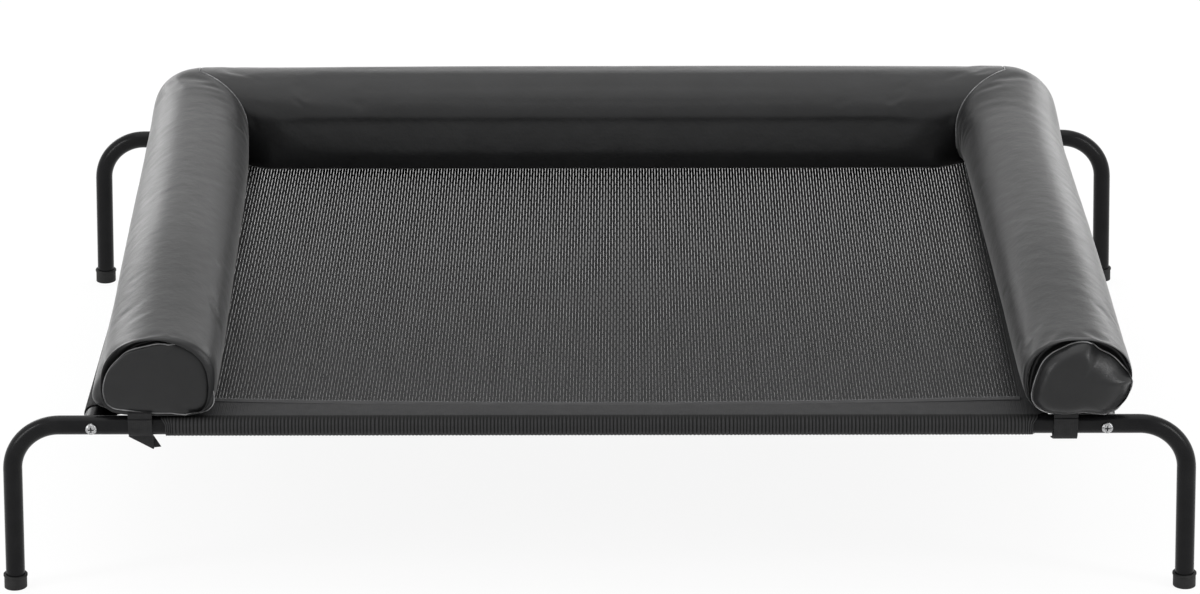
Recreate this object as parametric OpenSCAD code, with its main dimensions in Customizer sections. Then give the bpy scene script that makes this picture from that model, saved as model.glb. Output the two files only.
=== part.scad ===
// Raised dog cot: a bent-tube frame carries a slung mesh panel, and a stuffed bolster lies round
// three sides of it. Origin on the floor under the middle of the cot, X across the width,
// front at -Y, Z up. Millimetres and degrees.

/* [Frame] */
// Distance between the leg axes at rail height
frame_w = 1222; // [900:1:1400]
// Distance between the front and rear rail axes
frame_d = 878; // [600:1:1000]
// Height of the rail axes above the floor
rail_h = 185; // [140:1:300]
// Outer diameter of every tube
tube_d = 20; // [18:0.5:24]
// Wall of every tube
tube_wall = 1.2; // [0.8:0.1:1.6]
// Centreline radius of the bend in each leg
bend_r = 51; // [40:1:60]
// How far the bend thins the tube, inside and out
bend_thin = 0.05; // [0.03:0.01:0.2]
// Outward lean of each leg
leg_lean = 1.6; // [0:0.1:4]
// Distance from a leg axis in to the side rail axis
side_rail_inset = 84; // [75:1:110]
// Distance from a leg axis in to the joint with the middle rail
rail_joint_inset = 181; // [165:1:260]

/* [Tube joints] */
// Length of the reduced neck that plugs into a middle rail
neck_l = 60; // [30:1:90]
// Length of the taper from full diameter down to the neck
neck_taper_l = 6; // [3:0.5:12]
// Radial clearance of the neck in the middle rail
neck_gap = 0.15; // [0.1:0.05:0.4]
// Clearance between a coped side rail end and the leg tube
cope_gap = 0.2; // [0.1:0.05:0.5]
// Diameter of the bolt shank
bolt_d = 6; // [5:0.5:8]
// Length of the bolt below its head
bolt_l = 45; // [40:1:60]
// Diameter of the bolt head
bolt_head_d = 12; // [10:0.5:14]
// Height of the bolt head
bolt_head_h = 3.8; // [3:0.1:5]
// Width of the cross recess in the bolt head
recess_w = 1.3; // [0.8:0.1:2]
// Length of the cross recess in the bolt head
recess_l = 6; // [4:0.5:8]
// Depth of the cross recess in the bolt head
recess_depth = 2.2; // [1:0.1:2.6]
// Radial clearance of the bolt in its holes
bolt_gap = 0.25; // [0.15:0.05:0.5]
// Length of the nut plug pressed into a side rail end
nut_l = 16; // [12:1:24]
// Distance from the leg tube to the nut plug
nut_setback = 2; // [1:0.5:5]
// Radial clearance of the nut plug in the side rail
nut_gap = 0.05; // [0.02:0.01:0.2]

/* [Foot caps] */
// Outer diameter of a foot cap
cap_d = 24; // [23:0.5:32]
// Height of a foot cap
cap_h = 15; // [10:0.5:30]
// Thickness of the foot cap under the tube
cap_floor = 3.5; // [2:0.5:6]
// How far the lip at the mouth of a foot cap stands out
cap_lip = 0.7; // [0.3:0.1:1.5]
// Radial clearance of a foot cap on the tube
cap_gap = 0.15; // [0.1:0.05:0.4]

/* [Sling] */
// Thickness of the sleeve cloth
cloth_t = 1.2; // [0.8:0.1:2]
// Clearance of the sleeves on the tubes
sleeve_gap = 0.3; // [0.2:0.05:1]
// Width of the front and rear borders, from rail axis to seam
end_border_w = 40; // [30:1:70]
// Width of the side borders, from side rail axis to seam
side_border_w = 99; // [50:1:140]
// Distance from a side rail axis in to the end of the front or rear sleeve
sleeve_inset = 71; // [68:1:90]
// Distance from a front or rear rail axis in to the end of a side sleeve
side_sleeve_inset = 27; // [20:1:38]
// Thickness of the mesh panel
mesh_t = 1; // [0.6:0.1:1.6]
// How far the middle of the mesh panel hangs below its edges
sag = 24; // [5:1:60]

/* [Bolster] */
// Width of the bolster
bolster_w = 123; // [90:1:150]
// Height of the bolster
bolster_h = 105; // [70:1:140]
// Width of the drawn-in front ends
end_w = 112; // [80:1:140]
// Height of the drawn-in front ends
end_h = 86; // [60:1:120]
// Length over which a front end draws in
draw_l = 40; // [20:1:100]
// How far the cover draws in at the corner seams
seam_draw = 4; // [0:0.5:10]
// Length of the mitred stretch at each rear corner
mitre_l = 130; // [100:1:180]
// Share of its width that the outside of a corner keeps
corner_keep = 0.76; // [0.6:0.02:1]
// Distance from a side rail axis in to the bolster's rear corner
corner_inset = 45; // [20:1:70]
// Distance from the rear rail axis in to the back bolster's axis
back_inset = 82; // [70:1:120]
// Distance from the left side rail axis in to the left bolster's front end
left_front_inset = 68; // [20:1:80]
// Distance from the right side rail axis in to the right bolster's front end
right_front_inset = 32; // [20:1:80]
// How far the front ends stand out past the front rail axis
front_overhang = 7; // [0:0.5:9]
// How far the front end panels crown outward
end_crown = 6; // [2:0.5:6]
// Thickness of the bolster cover
cover_t = 1.5; // [1.2:0.1:3]
// Clearance between the cover and its filling, and under the bolster
soft_gap = 0.3; // [0.2:0.05:1]

/* [Straps] */
// Width of a strap
strap_w = 25; // [15:1:30]
// Thickness of a strap
strap_t = 1.6; // [1:0.1:2.2]
// Clearance of a strap on the tube and on its other half
strap_gap = 0.4; // [0.3:0.05:1]
// Length of a strap's free tail
tail_l = 22; // [10:1:40]
// How far a closed strap reaches round under the tube
strap_wrap = 70; // [45:1:80]
// Extra droop of the loose tail at the front left
loose_droop = 62; // [0:1:70]
// Distance from the left side rail axis in to the front left strap
left_strap_inset = 51; // [40:1:54]
// Distance from the right side rail axis in to the front right strap
right_strap_inset = 43; // [40:1:54]
// Distance from a side rail axis in to a rear strap
rear_strap_inset = 51; // [40:1:54]
// Reach of a rear strap from the rear rail axis to the bolster
tether_run = 38; // [30:1:44]
// Rise of a rear strap from the rail to the bolster
tether_rise = 12; // [4:1:16]

/* [Hidden] */
$fn = 48;

frame_black = "#1d1e20";
cap_black = "#141415";
steel = "#b9bcc0";
plug_black = "#2a2a2b";
mesh_grey = "#48494b";
sleeve_grey = "#303133";
cover_grey = "#56585b";
fill_white = "#e8e6e0";
strap_black = "#232426";

tube_r = tube_d / 2;
bore_r = tube_r - tube_wall;
leg_x = frame_w / 2;
side_x = leg_x - side_rail_inset;
joint_x = leg_x - rail_joint_inset;
rail_y = frame_d / 2;
bend_angle = 90 - leg_lean;
bend_run = bend_r * tan(bend_angle / 2);
neck_r = bore_r - neck_gap;
cut = 1; // overshoot of a cutting tool
bend_lap = 0.5; // how far the straight tube runs into the bend

sleeve_in = tube_r + sleeve_gap;
sleeve_out = sleeve_in + cloth_t;
seam_t = 2 * cloth_t;
seam_strip = 2;
wrap_steps = 32;
panel_x = side_x - side_border_w;
panel_y = rail_y - end_border_w;
panel_drop = 0.2; // from the top of the sleeves down to the edge of the panel
panel_cells = [14, 12];

rest_z = rail_h + sleeve_out + soft_gap;
corner_x = side_x - corner_inset;
corner_y = rail_y - back_inset;
front_y = -rail_y - front_overhang;
side_l = corner_y - front_y;
cover_sides = 30;
fill_sides = 18;
top_power = 0.92; // 1 is an ellipse, lower is squarer
bottom_power = 0.62;
end_rim_t = 1.5;

strap_in = tube_r + strap_gap;
strap_out = strap_in + strap_t;
roll_r = 0.875 * strap_t;
hinge_u = strap_in + strap_t / 2;
hinge_v = sleeve_out - roll_r;
strap_steps = 8;
// Turn from where the hook half leaves the tube to the loop half's end
strap_lap = acos(strap_in / (strap_out + strap_gap));
loop_wrap = 180 - strap_wrap - strap_lap;

// Places a piece drawn at the rear right corner, outward along +X and +Y, at any corner
module at_corner(side, end) {
    mirror([side < 0 ? 1 : 0, 0, 0]) mirror([0, end < 0 ? 1 : 0, 0]) children();
}

// Frame

module ring(outer, inner) {
    difference() {
        circle(r = outer);
        circle(r = inner);
    }
}

// Moves to the leg's line at rail height, with Z running down the leg
module down_leg() {
    translate([leg_x, rail_y, rail_h]) rotate([0, 180 - leg_lean, 0]) children();
}

// Plugs its neck into a middle rail, runs out, bends down and leans to the floor
module leg() {
    shoulder = joint_x + neck_taper_l;
    neck_bore = neck_r - tube_wall;
    bend_x = leg_x - bend_run;
    straight_from = bend_run - bend_lap;
    wall_profile = [
        [tube_r, bend_x + bend_lap], [tube_r, shoulder], [neck_r, joint_x], [neck_r, joint_x - neck_l],
        [neck_bore, joint_x - neck_l], [neck_bore, joint_x], [bore_r, shoulder], [bore_r, bend_x + bend_lap]
    ];
    leg_l = (rail_h - cap_floor) / cos(leg_lean);
    color(frame_black)
    difference() {
        union() {
            translate([0, rail_y, rail_h]) rotate([0, 90, 0]) rotate_extrude() polygon(wall_profile);
            translate([bend_x, rail_y, rail_h - bend_r]) rotate([90, 0, 0])
                rotate([0, 0, leg_lean]) rotate_extrude(angle = bend_angle)
                    translate([bend_r, 0]) ring(tube_r - bend_thin, bore_r + bend_thin);
            down_leg() translate([0, 0, straight_from])
                linear_extrude(leg_l - straight_from) ring(tube_r, bore_r);
        }
        translate([side_x, rail_y + tube_d, rail_h]) rotate([90, 0, 0])
            cylinder(r = bolt_d / 2 + bolt_gap, h = 2 * tube_d);
    }
}

module middle_rail(end) {
    color(frame_black)
    translate([-joint_x, end * rail_y, rail_h]) rotate([0, 90, 0])
        linear_extrude(2 * joint_x) ring(tube_r, bore_r);
}

// Runs front to back, with both ends coped to sit on the leg tubes
module side_rail(side) {
    color(frame_black)
    difference() {
        translate([side * side_x, rail_y, rail_h]) rotate([90, 0, 0])
            linear_extrude(frame_d) ring(tube_r, bore_r);
        for (end = [-1, 1])
            translate([side * side_x - tube_d, end * rail_y, rail_h]) rotate([0, 90, 0])
                cylinder(r = tube_r + cope_gap, h = 2 * tube_d);
    }
}

// Cup on the leg's end, cut level where it stands
module foot_cap() {
    cap_r = cap_d / 2;
    mouth_r = tube_r + cap_gap;
    lip_h = 3 * cap_lip;
    cup = [
        [0, -cut], [cap_r, -cut], [cap_r, cap_h - lip_h - cap_lip],
        [cap_r + cap_lip, cap_h - lip_h], [cap_r + cap_lip, cap_h - cap_lip], [cap_r, cap_h],
        [mouth_r, cap_h], [mouth_r, cap_floor], [0, cap_floor]
    ];
    color(cap_black)
    difference() {
        down_leg() translate([0, 0, rail_h / cos(leg_lean)]) mirror([0, 0, 1]) rotate_extrude() polygon(cup);
        translate([leg_x - cap_d, rail_y - cap_d, -cap_d]) cube([3 * cap_d, 2 * cap_d, cap_d]);
    }
}

// Drawn with Z running in from the outer face of the leg tube
module into_side_rail() {
    translate([side_x, rail_y + tube_r, rail_h]) rotate([90, 0, 0]) children();
}

// Pan-head bolt with a cross recess, through the leg tube into the nut plug
module bolt() {
    head_r = bolt_head_d / 2;
    dome_h = bolt_head_h / 2;
    dome = [for (a = [0:15:90]) [head_r - dome_h + dome_h * cos(a), -dome_h - dome_h * sin(a)]];
    color(steel)
    into_side_rail() difference() {
        union() {
            rotate_extrude() polygon(concat([[0, 0], [head_r, 0]], dome, [[0, -bolt_head_h]]));
            translate([0, 0, -cut]) cylinder(d = bolt_d, h = bolt_l + cut);
        }
        for (turn = [0, 90])
            rotate([0, 0, turn]) translate([-recess_l / 2, -recess_w / 2, -bolt_head_h - cut])
                cube([recess_l, recess_w, recess_depth + cut]);
    }
}

// Grooved plug inside the side rail's end, bored for the bolt
module nut_plug() {
    plug_r = bore_r - nut_gap;
    groove_w = 2;
    color(plug_black)
    into_side_rail() translate([0, 0, tube_d + nut_setback]) difference() {
        cylinder(r = plug_r, h = nut_l);
        translate([0, 0, -cut]) cylinder(r = bolt_d / 2 + bolt_gap, h = nut_l + 2 * cut);
        for (at = [nut_l / 3, 2 * nut_l / 3])
            translate([0, 0, at - groove_w / 2]) linear_extrude(groove_w) ring(plug_r + cut, plug_r - 1);
    }
}

// Sling

// Outline of one cloth face: round the tube from its top to where it leaves for the seam, then the tip
function drop_outline(r, tip, tip_t) =
    let (low = tip - [0, tip_t],
         leaves = 360 + atan2(low[1], low[0]) - acos(r / norm(low)))
    concat([for (i = [0:wrap_steps]) let (a = 90 + (leaves - 90) * i / wrap_steps) r * [cos(a), sin(a)]],
           tip_t > 0 ? [low, tip] : [tip]);

// Section of a sleeve: round the tube, then two layers that meet at the seam
module sleeve_section(border_w) {
    difference() {
        polygon(drop_outline(sleeve_out, [border_w, sleeve_out], seam_t));
        polygon(drop_outline(sleeve_in, [border_w - seam_strip, sleeve_in], 0));
    }
}

module end_sleeve(end) {
    color(sleeve_grey)
    at_corner(1, -end) translate([0, -rail_y, rail_h]) rotate([90, 0, 90])
        linear_extrude(2 * (side_x - sleeve_inset), center = true) sleeve_section(end_border_w);
}

// The border is notched at both ends, where only the tube stays covered
module side_sleeve(side) {
    cover_l = 2 * (rail_y - side_sleeve_inset);
    border_l = 2 * (panel_y - soft_gap);
    color(sleeve_grey)
    at_corner(-side, 1) translate([-side_x, 0, rail_h]) rotate([90, 0, 0]) difference() {
        linear_extrude(cover_l, center = true) sleeve_section(side_border_w);
        for (end = [-1, 1])
            translate([sleeve_out, -2 * sleeve_out, end * (border_l + cover_l) / 2 - cover_l / 2])
                cube([side_border_w, 4 * sleeve_out, cover_l]);
    }
}

// The panel hangs between its seams as a shallow dish
module mesh_panel() {
    nx = panel_cells[0];
    ny = panel_cells[1];
    layer = (nx + 1) * (ny + 1);
    function at(i, j, low) = low * layer + j * (nx + 1) + i;
    points = [
        for (low = [0, 1], j = [0:ny], i = [0:nx])
            let (u = 2 * i / nx - 1, v = 2 * j / ny - 1)
            [panel_x * u, panel_y * v,
             rail_h + sleeve_out - panel_drop - low * mesh_t - sag * (1 - u * u) * (1 - v * v)]
    ];
    top = [for (j = [0:ny - 1], i = [0:nx - 1])
        each [[at(i, j, 0), at(i, j + 1, 0), at(i + 1, j + 1, 0)],
              [at(i, j, 0), at(i + 1, j + 1, 0), at(i + 1, j, 0)]]];
    under = [for (t = top) [t[2] + layer, t[1] + layer, t[0] + layer]];
    edge = concat(
        [for (i = [0:nx - 1]) [i, 0]], [for (j = [0:ny - 1]) [nx, j]],
        [for (i = [nx:-1:1]) [i, ny]], [for (j = [ny:-1:1]) [0, j]]);
    rim = [for (k = [0:len(edge) - 1])
        let (a = edge[k], b = edge[(k + 1) % len(edge)])
        each [[at(a[0], a[1], 0), at(b[0], b[1], 0), at(b[0], b[1], 1)],
              [at(a[0], a[1], 0), at(b[0], b[1], 1), at(a[0], a[1], 1)]]];
    color(mesh_grey) polyhedron(points, concat(top, under, rim));
}

// Bolster

// Rises from 0 at an edge to 1 at the distance l from it
function ease(d, l) = d >= l ? 1 : sin(90 * max(d, 0) / l);

// Section of the stuffed tube: round above, flatter where it lies
function cushion_section(half_w, half_h, sides) = [
    for (i = [0:sides - 1])
        let (c = cos(360 * i / sides), s = sin(360 * i / sides), p = s < 0 ? bottom_power : top_power)
        [half_w * sign(c) * pow(abs(c), p), half_h * sign(s) * pow(abs(s), p)]
];

// Joins rings of points, drawn anticlockwise along the run, into one closed skin
module loft(rings) {
    n = len(rings[0]);
    last = len(rings) - 1;
    function middle(r) = [for (k = [0:2]) [for (p = r) p[k]] * [for (p = r) 1] / n];
    points = concat([for (r = rings) each r], [middle(rings[0]), middle(rings[last])]);
    tip = n * (last + 1);
    walls = [for (k = [0:last - 1], i = [0:n - 1])
        let (a = k * n + i, b = k * n + (i + 1) % n)
        each [[a, b, b + n], [a, b + n, a + n]]];
    first_end = [for (i = [0:n - 1]) [tip, (i + 1) % n, i]];
    last_end = [for (i = [0:n - 1]) [tip + 1, last * n + i, last * n + (i + 1) % n]];
    polyhedron(points, concat(walls, first_end, last_end));
}

// Outward offset of a section point as its ring turns into the corner seam
function corner_offset(across, turn) = across > 0 ? across * (1 - turn * (1 - corner_keep)) : across;

// Height of the bolster's axis, with its underside held at the rest height
function axis_z(height) = rest_z + height / 2;

// Share of the way into a corner seam: crowded towards the seam
corner_turns = [for (i = [1:5]) 1 - pow(1 - i / 5, 2)];

// Ring of a side bolster at the distance d behind its front end
function side_ring(d, at, turn, inset, front_x, sides) =
    let (drawn = ease(d, draw_l),
         pinch = seam_draw * (1 - ease(side_l - d, mitre_l / 2)),
         width = end_w + (bolster_w - end_w) * drawn - pinch,
         height = end_h + (bolster_h - end_h) * drawn - pinch,
         x = front_x + (corner_x - front_x) * d / side_l)
    [for (p = cushion_section(width / 2 - inset, height / 2 - inset, sides))
        let (across = corner_offset(p[0], turn))
        [x + across, front_y + at + turn * across, axis_z(height) + p[1]]];

// Rings from the front end to the corner seam, with the first and last moved in by the given amounts
function side_rings(inset, front_in, seam_in, front_x, sides) =
    let (drawn = [for (i = [0:5]) draw_l * (1 - cos(18 * i))],
         body = [for (i = [1:6]) draw_l + (side_l - mitre_l - draw_l) * i / 6],
         turned = [for (t = corner_turns) side_l - mitre_l * (1 - t)])
    concat(
        [for (d = drawn) side_ring(d, max(d, front_in), 0, inset, front_x, sides)],
        [for (d = body) side_ring(d, d, 0, inset, front_x, sides)],
        [for (i = [0:4]) let (at = turned[i] - (i == 4 ? seam_in : 0))
            side_ring(turned[i], at, corner_turns[i], inset, front_x, sides)]);

// Ring of the back bolster at the distance x from the middle, sheared towards the corner it nears
function back_ring(x, at, turn, inset, sides) =
    let (pinch = seam_draw * (1 - ease(corner_x - abs(x), mitre_l / 2)),
         width = bolster_w - pinch,
         height = bolster_h - pinch)
    [for (p = cushion_section(width / 2 - inset, height / 2 - inset, sides))
        let (across = corner_offset(p[0], turn))
        [at + sign(x) * turn * across, corner_y + across, axis_z(height) + p[1]]];

function back_rings(inset, seam_in, sides) =
    let (straight_x = corner_x - mitre_l,
         turned = [for (t = corner_turns) corner_x - mitre_l * (1 - t)],
         right = [for (i = [4:-1:0])
             back_ring(turned[i], turned[i] - (i == 4 ? seam_in : 0), corner_turns[i], inset, sides)],
         body = [for (i = [4:-1:-4]) back_ring(straight_x * i / 4, straight_x * i / 4, 0, inset, sides)],
         left = [for (i = [0:4])
             back_ring(-turned[i], -turned[i] + (i == 4 ? seam_in : 0), corner_turns[i], inset, sides)])
    concat(right, body, left);

// Distance from the left or right bolster's front end to the middle of the cot
function front_x(side) = side_x - (side < 0 ? left_front_inset : right_front_inset);

seam_half = soft_gap / 2;
fill_inset = cover_t + soft_gap;
corner_wall = 1.5 * cover_t; // measured along the bolster, square to the slanted seam it is about the cover

// Open at the front, where the end panel closes it
module side_cover(side) {
    mouth = side_rings(cover_t, 0, corner_wall + seam_half, front_x(side), fill_sides);
    lead_in = [for (p = mouth[0]) p - [0, cut, 0]];
    color(cover_grey)
    at_corner(side, 1) difference() {
        loft(side_rings(0, 0, seam_half, front_x(side), cover_sides));
        loft(concat([lead_in], mouth));
    }
}

module side_fill(side) {
    color(fill_white)
    at_corner(side, 1)
        loft(side_rings(fill_inset, soft_gap, corner_wall + soft_gap + seam_half, front_x(side), fill_sides));
}

module back_bolster_cover() {
    color(cover_grey)
    difference() {
        loft(back_rings(0, seam_half, cover_sides));
        loft(back_rings(cover_t, corner_wall + seam_half, fill_sides));
    }
}

module back_bolster_fill() {
    color(fill_white) loft(back_rings(fill_inset, corner_wall + soft_gap + seam_half, fill_sides));
}

// Crowned panel that closes a front end
module end_panel(side) {
    rim = side_ring(0, 0, 0, 0, front_x(side), cover_sides);
    middle = [front_x(side), front_y, axis_z(end_h)];
    steps = [0.25, 0.5, 0.72, 0.88, 0.97, 1];
    crown = [for (s = steps)
        let (out = end_rim_t + (end_crown - end_rim_t) * sqrt(1 - s * s))
        [for (p = rim) middle + (p - middle) * s - [0, out, 0]]];
    color(cover_grey) at_corner(side, 1) loft(concat(crown, [rim]));
}

// Straps, drawn with X outward from the rail axis and Y up

// Outline of a strap that follows a path along its middle
function band_outline(path) =
    let (last = len(path) - 1,
         faces = [for (i = [0:last])
             let (run = path[min(i + 1, last)] - path[max(i - 1, 0)],
                  off = strap_t / 2 * [-run[1], run[0]] / norm(run))
             [path[i] + off, path[i] - off]])
    concat([for (f = faces) f[0]], [for (i = [last:-1:0]) faces[i][1]]);

// Path round the tube from one angle to another
function wrap_path(from, to) =
    [for (i = [0:strap_steps]) let (a = from + (to - from) * i / strap_steps) hinge_u * [cos(a), sin(a)]];

// Swinging half below its rolled hem: down the outer face, under the tube, then the free tail
module hook_section(droop) {
    wrapped = wrap_path(0, -strap_wrap);
    way = droop - 90 - strap_wrap;
    tail_end = wrapped[strap_steps] + tail_l * [cos(way), sin(way)];
    polygon(band_outline(concat([[hinge_u, hinge_v]], wrapped, [tail_end])));
}

module hem_section() {
    translate([hinge_u, hinge_v]) circle(r = roll_r);
}

// Fixed half: down the inner face and in under the tube
module loop_section() {
    polygon(band_outline(concat([[-hinge_u, sleeve_out]], wrap_path(180, 180 + loop_wrap))));
}

// Reaches over the rail from the bolster's lower edge
module tether_section() {
    over = hinge_u - roll_r - strap_gap;
    sewn = [-tether_run, strap_in + tether_rise];
    polygon([
        [over, strap_in], [-strap_out, strap_in], sewn,
        sewn + [0, strap_t], [-strap_out, strap_out], [over, strap_out]
    ]);
}

function strap_x(side, end) =
    side_x - (end > 0 ? rear_strap_inset : side < 0 ? left_strap_inset : right_strap_inset);

module strap(side, end) {
    color(strap_black)
    at_corner(side, end) translate([strap_x(side, end) - strap_w / 2, rail_y, rail_h]) rotate([90, 0, 90])
        for (i = [0:$children - 1]) linear_extrude(strap_w) children(i);
}

module strap_hook(side, end, droop) {
    strap(side, end) {
        hem_section();
        hook_section(droop);
    }
}

module strap_loop(side, end) {
    strap(side, end) {
        loop_section();
        if (end > 0) tether_section();
    }
}

at_corner(-1, -1) leg();  // front_left_leg
at_corner(1, -1) leg();  // front_right_leg
at_corner(-1, 1) leg();  // rear_left_leg
at_corner(1, 1) leg();  // rear_right_leg
middle_rail(-1);  // front_rail
middle_rail(1);  // rear_rail
side_rail(-1);  // left_side_rail
side_rail(1);  // right_side_rail
at_corner(-1, -1) foot_cap();  // front_left_foot_cap
at_corner(1, -1) foot_cap();  // front_right_foot_cap
at_corner(-1, 1) foot_cap();  // rear_left_foot_cap
at_corner(1, 1) foot_cap();  // rear_right_foot_cap
at_corner(-1, -1) bolt();  // front_left_bolt
at_corner(1, -1) bolt();  // front_right_bolt
at_corner(-1, 1) bolt();  // rear_left_bolt
at_corner(1, 1) bolt();  // rear_right_bolt
at_corner(-1, -1) nut_plug();  // front_left_nut_plug
at_corner(1, -1) nut_plug();  // front_right_nut_plug
at_corner(-1, 1) nut_plug();  // rear_left_nut_plug
at_corner(1, 1) nut_plug();  // rear_right_nut_plug
mesh_panel();
end_sleeve(-1);  // front_sleeve
end_sleeve(1);  // rear_sleeve
side_sleeve(-1);  // left_sleeve
side_sleeve(1);  // right_sleeve
side_cover(-1);  // left_bolster_cover
back_bolster_cover();
side_cover(1);  // right_bolster_cover
side_fill(-1);  // left_bolster_fill
back_bolster_fill();
side_fill(1);  // right_bolster_fill
end_panel(-1);  // left_end_panel
end_panel(1);  // right_end_panel
strap_loop(-1, -1);  // front_left_strap_loop
strap_loop(1, -1);  // front_right_strap_loop
strap_loop(-1, 1);  // rear_left_strap_loop
strap_loop(1, 1);  // rear_right_strap_loop
strap_hook(-1, -1, loose_droop);  // front_left_strap_hook
strap_hook(1, -1, 0);  // front_right_strap_hook
strap_hook(-1, 1, 0);  // rear_left_strap_hook
strap_hook(1, 1, 0);  // rear_right_strap_hook
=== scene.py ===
import math

import bpy
import numpy as np
from mathutils import Matrix, Vector, kdtree, noise


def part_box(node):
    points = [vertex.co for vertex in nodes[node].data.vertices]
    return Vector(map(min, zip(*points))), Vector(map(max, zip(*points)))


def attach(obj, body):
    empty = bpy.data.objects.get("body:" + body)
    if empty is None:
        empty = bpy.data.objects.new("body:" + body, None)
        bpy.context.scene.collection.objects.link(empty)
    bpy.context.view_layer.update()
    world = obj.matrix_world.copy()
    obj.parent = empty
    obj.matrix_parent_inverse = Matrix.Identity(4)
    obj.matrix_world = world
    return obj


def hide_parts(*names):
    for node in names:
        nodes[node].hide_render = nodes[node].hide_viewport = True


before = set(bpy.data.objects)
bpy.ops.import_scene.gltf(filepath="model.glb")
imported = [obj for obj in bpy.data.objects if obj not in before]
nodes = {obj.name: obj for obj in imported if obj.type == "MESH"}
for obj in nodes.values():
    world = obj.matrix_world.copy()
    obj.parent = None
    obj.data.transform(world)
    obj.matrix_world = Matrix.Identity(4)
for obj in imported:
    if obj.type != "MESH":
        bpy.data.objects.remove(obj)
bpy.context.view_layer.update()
corners = ["front_left", "front_right", "rear_left", "rear_right"]


def clearSelection():
    bpy.ops.object.select_all(action="DESELECT")


def pickOnly(piece):
    clearSelection()
    piece.select_set(True)
    bpy.context.view_layer.objects.active = piece


def editPiece(piece, *steps):
    # runs edit mode operators on the whole piece
    pickOnly(piece)
    bpy.ops.object.mode_set(mode="EDIT")
    bpy.ops.mesh.select_all(action="SELECT")
    for step in steps:
        step()
    bpy.ops.object.mode_set(mode="OBJECT")


def mergeDoubles():
    bpy.ops.mesh.remove_doubles(threshold=1e-6)


def faceOutwards():
    bpy.ops.mesh.normals_make_consistent(inside=False)


def gridPiece(name, across, along, place):
    # a flat grid rolled or draped by place(u, v), with u and v from 0 to 1
    clearSelection()
    bpy.ops.mesh.primitive_grid_add(x_subdivisions=across, y_subdivisions=along, size=1)
    piece = bpy.context.object
    piece.name = name
    piece.data.name = name
    for point in piece.data.vertices:
        point.co = place(point.co.x + 0.5, point.co.y + 0.5)
    return piece


def scaleUv(piece, width, length):
    # the grid's map runs from 0 to 1, the weave wants metres
    for corner in piece.data.uv_layers.active.data:
        corner.uv = (corner.uv.x * width, corner.uv.y * length)


def addModifier(piece, kind, **values):
    modifier = piece.modifiers.new(kind.lower(), kind)
    for key, value in values.items():
        setattr(modifier, key, value)
    pickOnly(piece)
    bpy.ops.object.modifier_apply(modifier=modifier.name)


def smoothPiece(piece, angle=None):
    pickOnly(piece)
    if angle is None:
        bpy.ops.object.shade_smooth()
    else:
        bpy.ops.object.shade_smooth_by_angle(angle=math.radians(angle))


def dressPiece(piece, material):
    piece.data.materials.clear()
    piece.data.materials.append(material)


def finishPiece(piece, material, body="cot"):
    dressPiece(piece, material)
    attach(piece, body)


def addNode(tree, kind, **inputs):
    node = tree.nodes.new(kind)
    for key, value in inputs.items():
        node.inputs[key].default_value = value
    return node


def join(output, socket):
    output.id_data.links.new(output, socket)


def mathNode(tree, operation, *values, kind="ShaderNodeMath"):
    # each value is the output of another node or a plain number
    node = tree.nodes.new(kind)
    node.operation = operation
    for socket, value in zip(node.inputs, values):
        if isinstance(value, bpy.types.NodeSocket):
            join(value, socket)
        else:
            socket.default_value = value
    return node.outputs["Value" if operation == "DOT_PRODUCT" else 0]


def coordinate(tree, kind):
    return tree.nodes.new("ShaderNodeTexCoord").outputs[kind]


# camera at the photograph's place, angles in degrees
viewpoint = {
    "place": (0.0278, -4.6538, 2.0130),
    "pitch": 21.798,
    "yaw": -0.356,
    "roll": -0.226,
    "lens": 132.56,
    "sensor": 36,
}


def setCamera():
    turn = Matrix.Rotation(math.radians(-viewpoint["yaw"]), 4, "Z")
    tilt = Matrix.Rotation(math.radians(90 - viewpoint["pitch"]), 4, "X")
    roll = Matrix.Rotation(math.radians(viewpoint["roll"]), 4, "Z")
    bpy.ops.object.camera_add()
    camera = bpy.context.object
    camera.matrix_world = Matrix.Translation(viewpoint["place"]) @ turn @ tilt @ roll
    camera.data.lens = viewpoint["lens"]
    camera.data.sensor_width = viewpoint["sensor"]
    bpy.context.scene.camera = camera


setCamera()
print("camera set")


# white studio: an even sky, one soft lamp overhead and a pale floor
studio = {
    "brightSide": (0, 0.72, 0.69),  # the sky is brightest above and behind
    "sideGlow": 0.4,
    "skyLow": 0.08,
    "skyHigh": 1.1,
    "lampPower": 30,
    "lampSize": 3.2,
    "lampHeight": 3.0,
    "lampBack": 0.5,
    "boxPlace": (2.6, -1.3, 1.5),  # one tall softbox on each side
    "boxSize": (0.45, 1.8),
    "boxPower": 26,
    "rimPlace": (1.9, 3.2, 0.7),  # and a low one behind on each side, for the outer edges
    "rimSize": (0.8, 1.2),
    "rimPower": 6,
    "aim": (0, 0, 0.2),
    "floorSize": 16,
    "floorWhite": 0.96,
    "floorGlow": 0.9,  # share of the floor's white that shade doesn't reach
}


def seenDirectly(tree):
    # 1 for camera, mirror and see-through rays, 0 for light off matt surfaces
    path = tree.nodes.new("ShaderNodeLightPath").outputs
    either = mathNode(tree, "MAXIMUM", path["Is Camera Ray"], path["Is Glossy Ray"])
    return mathNode(tree, "MAXIMUM", either, path["Is Transmission Ray"])


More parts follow.
